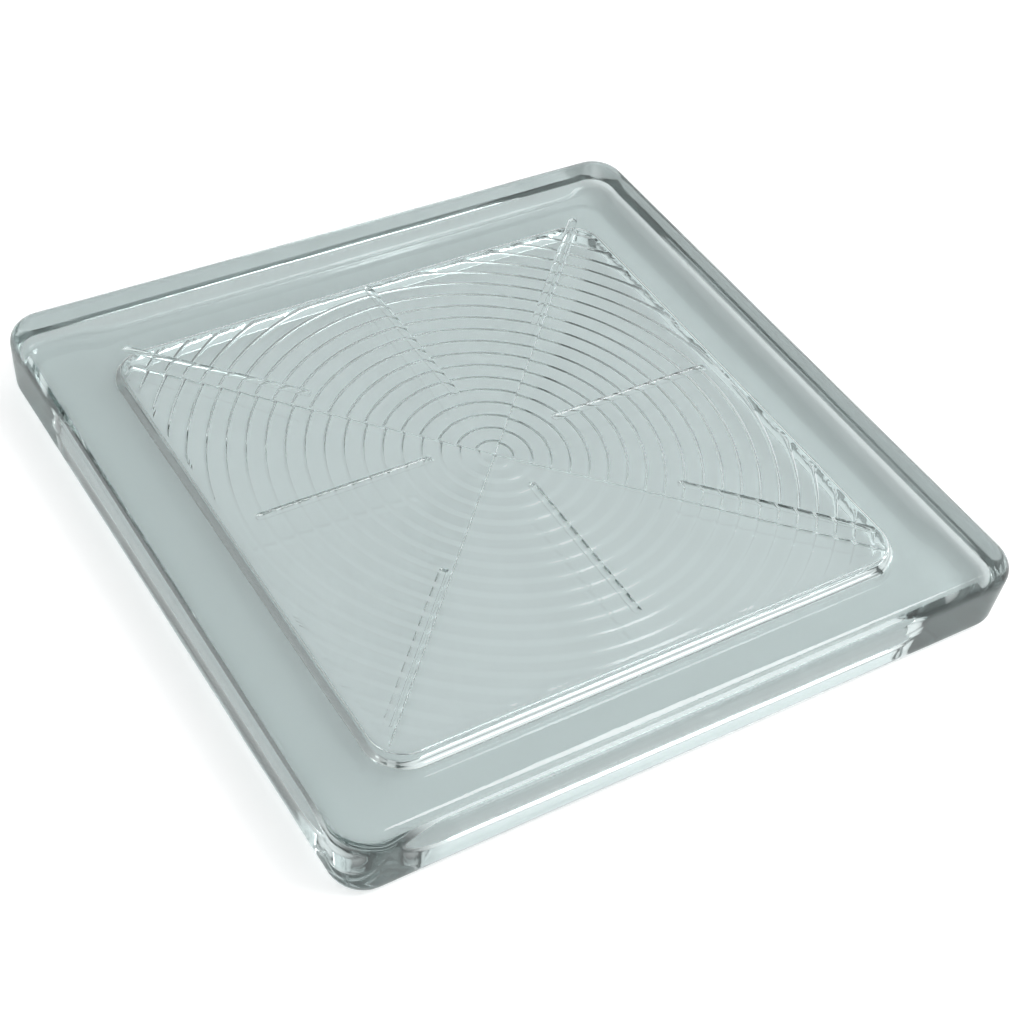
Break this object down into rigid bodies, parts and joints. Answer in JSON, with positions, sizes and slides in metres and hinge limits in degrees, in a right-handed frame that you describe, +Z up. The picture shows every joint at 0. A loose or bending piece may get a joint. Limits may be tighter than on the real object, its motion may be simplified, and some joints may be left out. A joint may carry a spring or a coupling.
{
  "type": "glass block",
  "caption": "Square solid glass block for glass-concrete floors and roof lights, dished on top, hollow underneath, with concentric prism rings and a star of flutes.",
  "frame": {"origin": "middle of the resting plane, under the centre of the block", "axes": "+Z up, from the foot to the tread face; X and Y along the sides"},
  "size_m": [0.2, 0.2, 0.022],
  "materials": {
    "pressed_glass": "clear pressed soda-lime glass with a faint blue-green tint, fire-polished"
  },
  "bodies": {
    "root": {"glass_block": "pressed_glass"}
  },
  "joints": []
}
